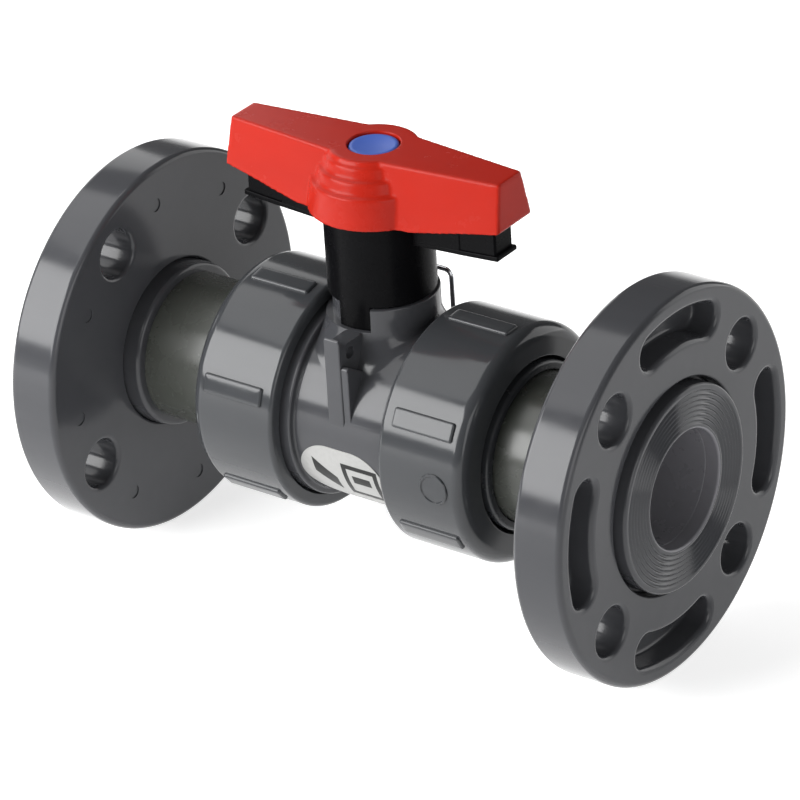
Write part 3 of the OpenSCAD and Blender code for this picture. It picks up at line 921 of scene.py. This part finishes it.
def lever_cover():
    """Red grip: a tapered bar joined to a stepped hub, with all edges softened."""
    draft, yaw = radians(12), radians(6.2)
    end_half_w, end_lean = 5.9, 0.9
    half_len = COVER_HIGH.x - end_lean
    voxel, smooth_passes = 0.38, 18
    bm = bmesh.new()
    rings = []
    for side in (-1, 1):
        distances = [half_len, 40, 30, HUB_LOW_R, 10]
        if side == 1:
            distances = [0] + list(reversed(distances))
        for d in distances:
            top_w = end_half_w + (half_len - d) * tan(yaw)
            low = under_z(d)
            low_w = top_w + (LEVER_TOP_Z - low) * tan(draft)
            lean = end_lean if d == half_len else 0
            rings.append([Vector((side * d, top_w, LEVER_TOP_Z)), Vector((side * d, -top_w, LEVER_TOP_Z)),
                          Vector((side * (d + lean), -low_w, low)), Vector((side * (d + lean), low_w, low))])
    skin(bm, rings)
    cover = new_piece("lever_grip", bm)
    bm = bmesh.new()
    turned(bm, [
        (HUB_LOW_Z, HUB_LOW_R),
        (80.6, HUB_LOW_R - 1.7),
        (80.9, HUB_LOW_R - 3.1),
        (84.9, HUB_LOW_R - 4.2),
        (85.2, HUB_TOP_R + 2.2),
        (88.7, HUB_TOP_R + 1.3),
        (89.0, HUB_TOP_R + 0.3),
        (LEVER_TOP_Z, HUB_TOP_R)])
    add(cover, bm)
    remesh = cover.modifiers.new("remesh", "REMESH")
    remesh.mode = "VOXEL"
    remesh.voxel_size = voxel
    soften = cover.modifiers.new("soften", "SMOOTH")
    soften.factor = 0.5
    soften.iterations = smooth_passes
    apply_modifiers(cover)
    cap_floor = CAP_LOW.z
    cap_r = CAP_HIGH.y + 0.35
    bm = bmesh.new()
    turned(bm, [
        (cap_floor - 0.4, cap_r),
        (LEVER_TOP_Z - 0.5, cap_r),
        (LEVER_TOP_Z - 0.1, cap_r + 0.15),
        (LEVER_TOP_Z + 0.2, cap_r + 0.5),
        (LEVER_TOP_Z + 2, cap_r + 0.5)], steps=96)
    cut(cover, bm)
    bm = bmesh.new()
    turned(bm, [(HUB_LOW_Z - 2, BOSS_R), (BOSS_Z + 0.1, BOSS_R)], steps=96)
    cut(cover, bm)
    screw_hole_r = 6.0
    bm = bmesh.new()
    turned(bm, [(BOSS_Z - 1, screw_hole_r), (cap_floor + 0.5, screw_hole_r)], steps=64)
    cut(cover, bm)
    dress(cover, RED, "lever", ["lever_cover"], sharp=50)


def lever_cap():
    """Blue cap with a rounded rim and a slightly dished face."""
    r = CAP_HIGH.y
    top = CAP_HIGH.z
    bm = bmesh.new()
    turned(bm, [
        (CAP_LOW.z, r - 0.5),
        (CAP_LOW.z + 0.5, r),
        (top - 0.8, r),
        (top - 0.25, r - 0.2),
        (top, r - 0.7),
        (top - 0.05, r - 1.5),
        (top - 0.25, r - 3),
        (top - 0.38, 2.4),
        (top - 0.42, 0.4)], steps=128)
    dress(new_piece("lever_centre_cap", bm), BLUE, "lever", ["lever_cap"], sharp=60)


def bar_between(bm, half_w, levels, edge):
    """Rounded bar along X. levels is a row of (x, low z, high z)."""
    least_corner = 0.05
    rings = []
    for i, (x, low, high) in enumerate(levels):
        shrink = edge if i in (0, len(levels) - 1) else 0
        middle, half_h = (low + high) / 2, (high - low) / 2
        outline = rounded_rectangle(half_w - shrink, half_h - shrink, max(edge - shrink, least_corner), 4)
        rings.append([Vector((x, y, middle + z)) for y, z in outline])
    skin(bm, rings)


def lever_base():
    """Black carrier: skirt with its stop tab, a boss, and an arm with a lip under each half of the grip."""
    arm_half_w, lip, lip_h, slope = 4.6, 0.6, 1.7, 0.075
    arm_low_z, arm_low_x, root_x, step_x = 61.2, 15, 10, 34
    collar = 0.45
    arm_end_x = BASE_HIGH.x - 2 * lip
    lip_end_x = arm_end_x + 2 * lip

    def low_z(x):
        return arm_low_z + (x - arm_low_x) * slope

    bm = bmesh.new()
    turned(bm, [
        (SKIRT_Z, SKIRT_R - 0.5),
        (SKIRT_Z + 0.5, SKIRT_R),
        (HUB_LOW_Z - 0.6, SKIRT_R),
        (HUB_LOW_Z, SKIRT_R - 0.6),
        (HUB_LOW_Z + 0.01, BOSS_R),
        (BOSS_Z - 0.3, BOSS_R),
        (BOSS_Z, BOSS_R - 0.3)])
    base = new_piece("lever_carrier", bm)
    for side in (-1, 1):
        bm = bmesh.new()
        places = (root_x, HUB_LOW_R, step_x, arm_end_x - 0.6, arm_end_x)
        levels = [(side * x, low_z(x) + 0.2, under_z(x) - 0.05) for x in places]
        bar_between(bm, arm_half_w, levels, 0.6)
        add(base, bm)
        bm = bmesh.new()
        places = (root_x, step_x, lip_end_x - 0.4, lip_end_x)
        levels = [(side * x, low_z(x), low_z(x) + lip_h) for x in places]
        bar_between(bm, arm_half_w + lip, levels, 0.4)
        add(base, bm)
        bm = bmesh.new()
        places = (root_x, step_x - 0.4, step_x)
        levels = [(side * x, low_z(x) + 1, under_z(x) - 1.6) for x in places]
        bar_between(bm, arm_half_w + collar, levels, 0.3)
        add(base, bm)
    spigot_hole_r = SPIGOT_R + 0.3
    bm = bmesh.new()
    turned(bm, [(SKIRT_Z - 1, spigot_hole_r), (SKIRT_TOP_Z, spigot_hole_r)])
    cut(base, bm)
    bm = bmesh.new()
    sector(bm, TAB_IN_R, SKIRT_R - 0.02, TAB_FROM, TAB_TO, TAB_Z, SKIRT_Z + 3)
    add(base, bm)
    half = 5.5
    square = [(-half, -half), (half, -half), (half, half), (-half, half)]
    bm = bmesh.new()
    skin(bm, [[Vector((x, y, z)) for x, y in square] for z in (SKIRT_TOP_Z - 1, BOSS_Z + 1)])
    cut(base, bm)
    dress(base, BLACK, "lever", ["lever_base"])


def stop_clip():
    """Bent wire behind the neck."""
    reach = 12.1
    wire_r = CLIP_HIGH.x - reach
    y = (CLIP_LOW.y + CLIP_HIGH.y) / 2
    top = CLIP_HIGH.z - wire_r
    bend = 2.4
    path = [(-reach, CLIP_LOW.z)]
    path += [(-reach, top - bend)] + [(-reach + bend * (1 - cos(a)), top - bend + bend * sin(a))
                                      for a in (pi / 8, pi / 4, 3 * pi / 8, pi / 2)]
    path += [(-x, z) for x, z in reversed(path)]
    steps = 20
    bm = bmesh.new()
    rings = []
    for i, (x, z) in enumerate(path):
        before = Vector(path[max(i - 1, 0)])
        after = Vector(path[min(i + 1, len(path) - 1)])
        way = (after - before).normalized()
        side = Vector((-way.y, way.x))
        rings.append([Vector((x + side.x * across, y + out, z + side.y * across))
                      for across, out in circle(wire_r, steps)])
    skin(bm, rings)
    dress(new_piece("wire_clip", bm), STEEL, "valve", ["stop_clip"], sharp=60)


# ---- The object ----

CARRIED_OVER = {
    "inlet_seat": SEAT_WHITE, "outlet_seat": SEAT_WHITE, "seat_carrier": INNER_GREY, "ball": INNER_GREY,
    "stem": STEM_GREY, "lever_screw": STEEL, "carrier_ring": SEAL_BLACK, "inlet_face_ring": SEAL_BLACK,
    "outlet_face_ring": SEAL_BLACK, "lower_stem_ring": SEAL_BLACK, "upper_stem_ring": SEAL_BLACK,
}


def build_object():
    loose_ring(1, "outlet", "outlet_flange", "outlet_loose_ring")
    loose_ring(-1, "inlet", "inlet_flange", "inlet_loose_ring")
    for side, end in ((1, "outlet"), (-1, "inlet")):
        hub(side, end + "_serrated_hub", end + "_hub")
        pipe(side, end + "_pipe_stub", end + "_pipe")
        connector(side, end + "_socket_end", end + "_connector")
    outlet_pads, inlet_pads = radians(61.2), radians(70.8)
    union_nut(1, "outlet_grip_nut", outlet_pads, "outlet_nut", "outlet_union_nut")
    union_nut(-1, "inlet_grip_nut", inlet_pads, "inlet_nut", "inlet_union_nut")
    valve_body()
    flow_label()
    lever_cover()
    lever_cap()
    lever_base()
    stop_clip()
    for name, material in CARRIED_OVER.items():
        frame["nodes"][name].data.materials.clear()
        frame["nodes"][name].data.materials.append(material)


# ---- Studio ----


def pale_backdrop():
    """Plain pale floor that glows a little, so that shadows stay soft and the far floor stays pale."""
    nodes = Nodes("studio_floor")
    mottle = nodes.noise(3, detail=2)
    nodes.colour(mottle, [(0.3, (0.84, 0.84, 0.84)), (0.7, (0.87, 0.87, 0.87))])
    nodes.set(Roughness=0.9, Specular_IOR_Level=0, Emission_Color=(1, 1, 1, 1), Emission_Strength=0.62)
    bm = bmesh.new()
    reach = 40000
    corners = [(-reach, -reach), (reach, -reach), (reach, reach), (-reach, reach)]
    bm.faces.new([bm.verts.new((x, y, CAD_LOW.z - 0.05)) for x, y in corners])
    floor = new_piece("studio_floor", bm)
    floor.data.transform(Matrix.Scale(MM, 4))
    floor.data.materials.append(nodes.material)


def area_light(name, place, target, size, power):
    """Rectangular light at a place, turned to a target."""
    light = bpy.data.lights.new(name, "AREA")
    light.shape = "RECTANGLE"
    light.size, light.size_y = size
    light.energy = power
    lamp = bpy.data.objects.new(name, light)
    lamp.location = place
    lamp.rotation_euler = (Vector(target) - Vector(place)).to_track_quat("-Z", "Y").to_euler()
    bpy.context.collection.objects.link(lamp)


def studio():
    """Dim white surroundings, a bright softbox at the front left and weaker panels round the valve."""
    pale_backdrop()
    world = bpy.data.worlds.new("studio")
    world.use_nodes = True
    world.node_tree.nodes["Background"].inputs["Color"].default_value = (1, 1, 1, 1)
    world.node_tree.nodes["Background"].inputs["Strength"].default_value = 0.14
    bpy.context.scene.world = world
    centre = Vector((MID_X * MM, 0, 0))
    # Name, direction from the valve, distance and size in metres, power in watts
    for name, way, distance, size, power in [
            ("front_softbox", (-0.513, -0.75, 0.42), 0.95, (0.75, 0.58), 15),
            ("back_panel", (-0.9, 0.36, 0.34), 1.3, (1.2, 0.9), 7),
            ("top_panel", (-0.45, -0.12, 0.9), 1.2, (1.0, 0.7), 6),
            ("right_fill", (0.85, -0.45, 0.3), 1.7, (1.2, 1.0), 10.5),
            ("rear_fill", (0.45, 0.85, 0.25), 1.7, (1.2, 1.0), 8)]:
        area_light(name, centre + Vector(way).normalized() * distance, centre, size, power)
    bpy.context.scene.view_settings.view_transform = "Standard"


def camera():
    """Camera at the photograph's angle. The distance and the two shifts are in millimetres."""
    azimuth, elevation, roll = radians(37.5), radians(28.35), radians(-3.67)
    distance, shift_right, shift_up = 1541.0, 1.011, 1.423
    back = Vector((sin(azimuth) * cos(elevation), -cos(azimuth) * cos(elevation), sin(elevation)))
    right = Vector((cos(azimuth), sin(azimuth), 0))
    up = back.cross(right)
    right, up = right * cos(roll) + up * sin(roll), up * cos(roll) - right * sin(roll)
    place = back * distance + right * shift_right + up * shift_up + Vector((MID_X, 0, 0))
    data = bpy.data.cameras.new("photo_camera")
    data.sensor_width = 36
    data.lens = 220.8
    data.clip_start, data.clip_end = 0.05, 100
    obj = bpy.data.objects.new("photo_camera", data)
    turn = Matrix((right, up, back)).transposed().to_4x4()
    obj.matrix_world = Matrix.Translation(place * MM) @ turn
    bpy.context.collection.objects.link(obj)
    bpy.context.scene.camera = obj


camera()
studio()
build_object()

bpy.context.view_layer.update()
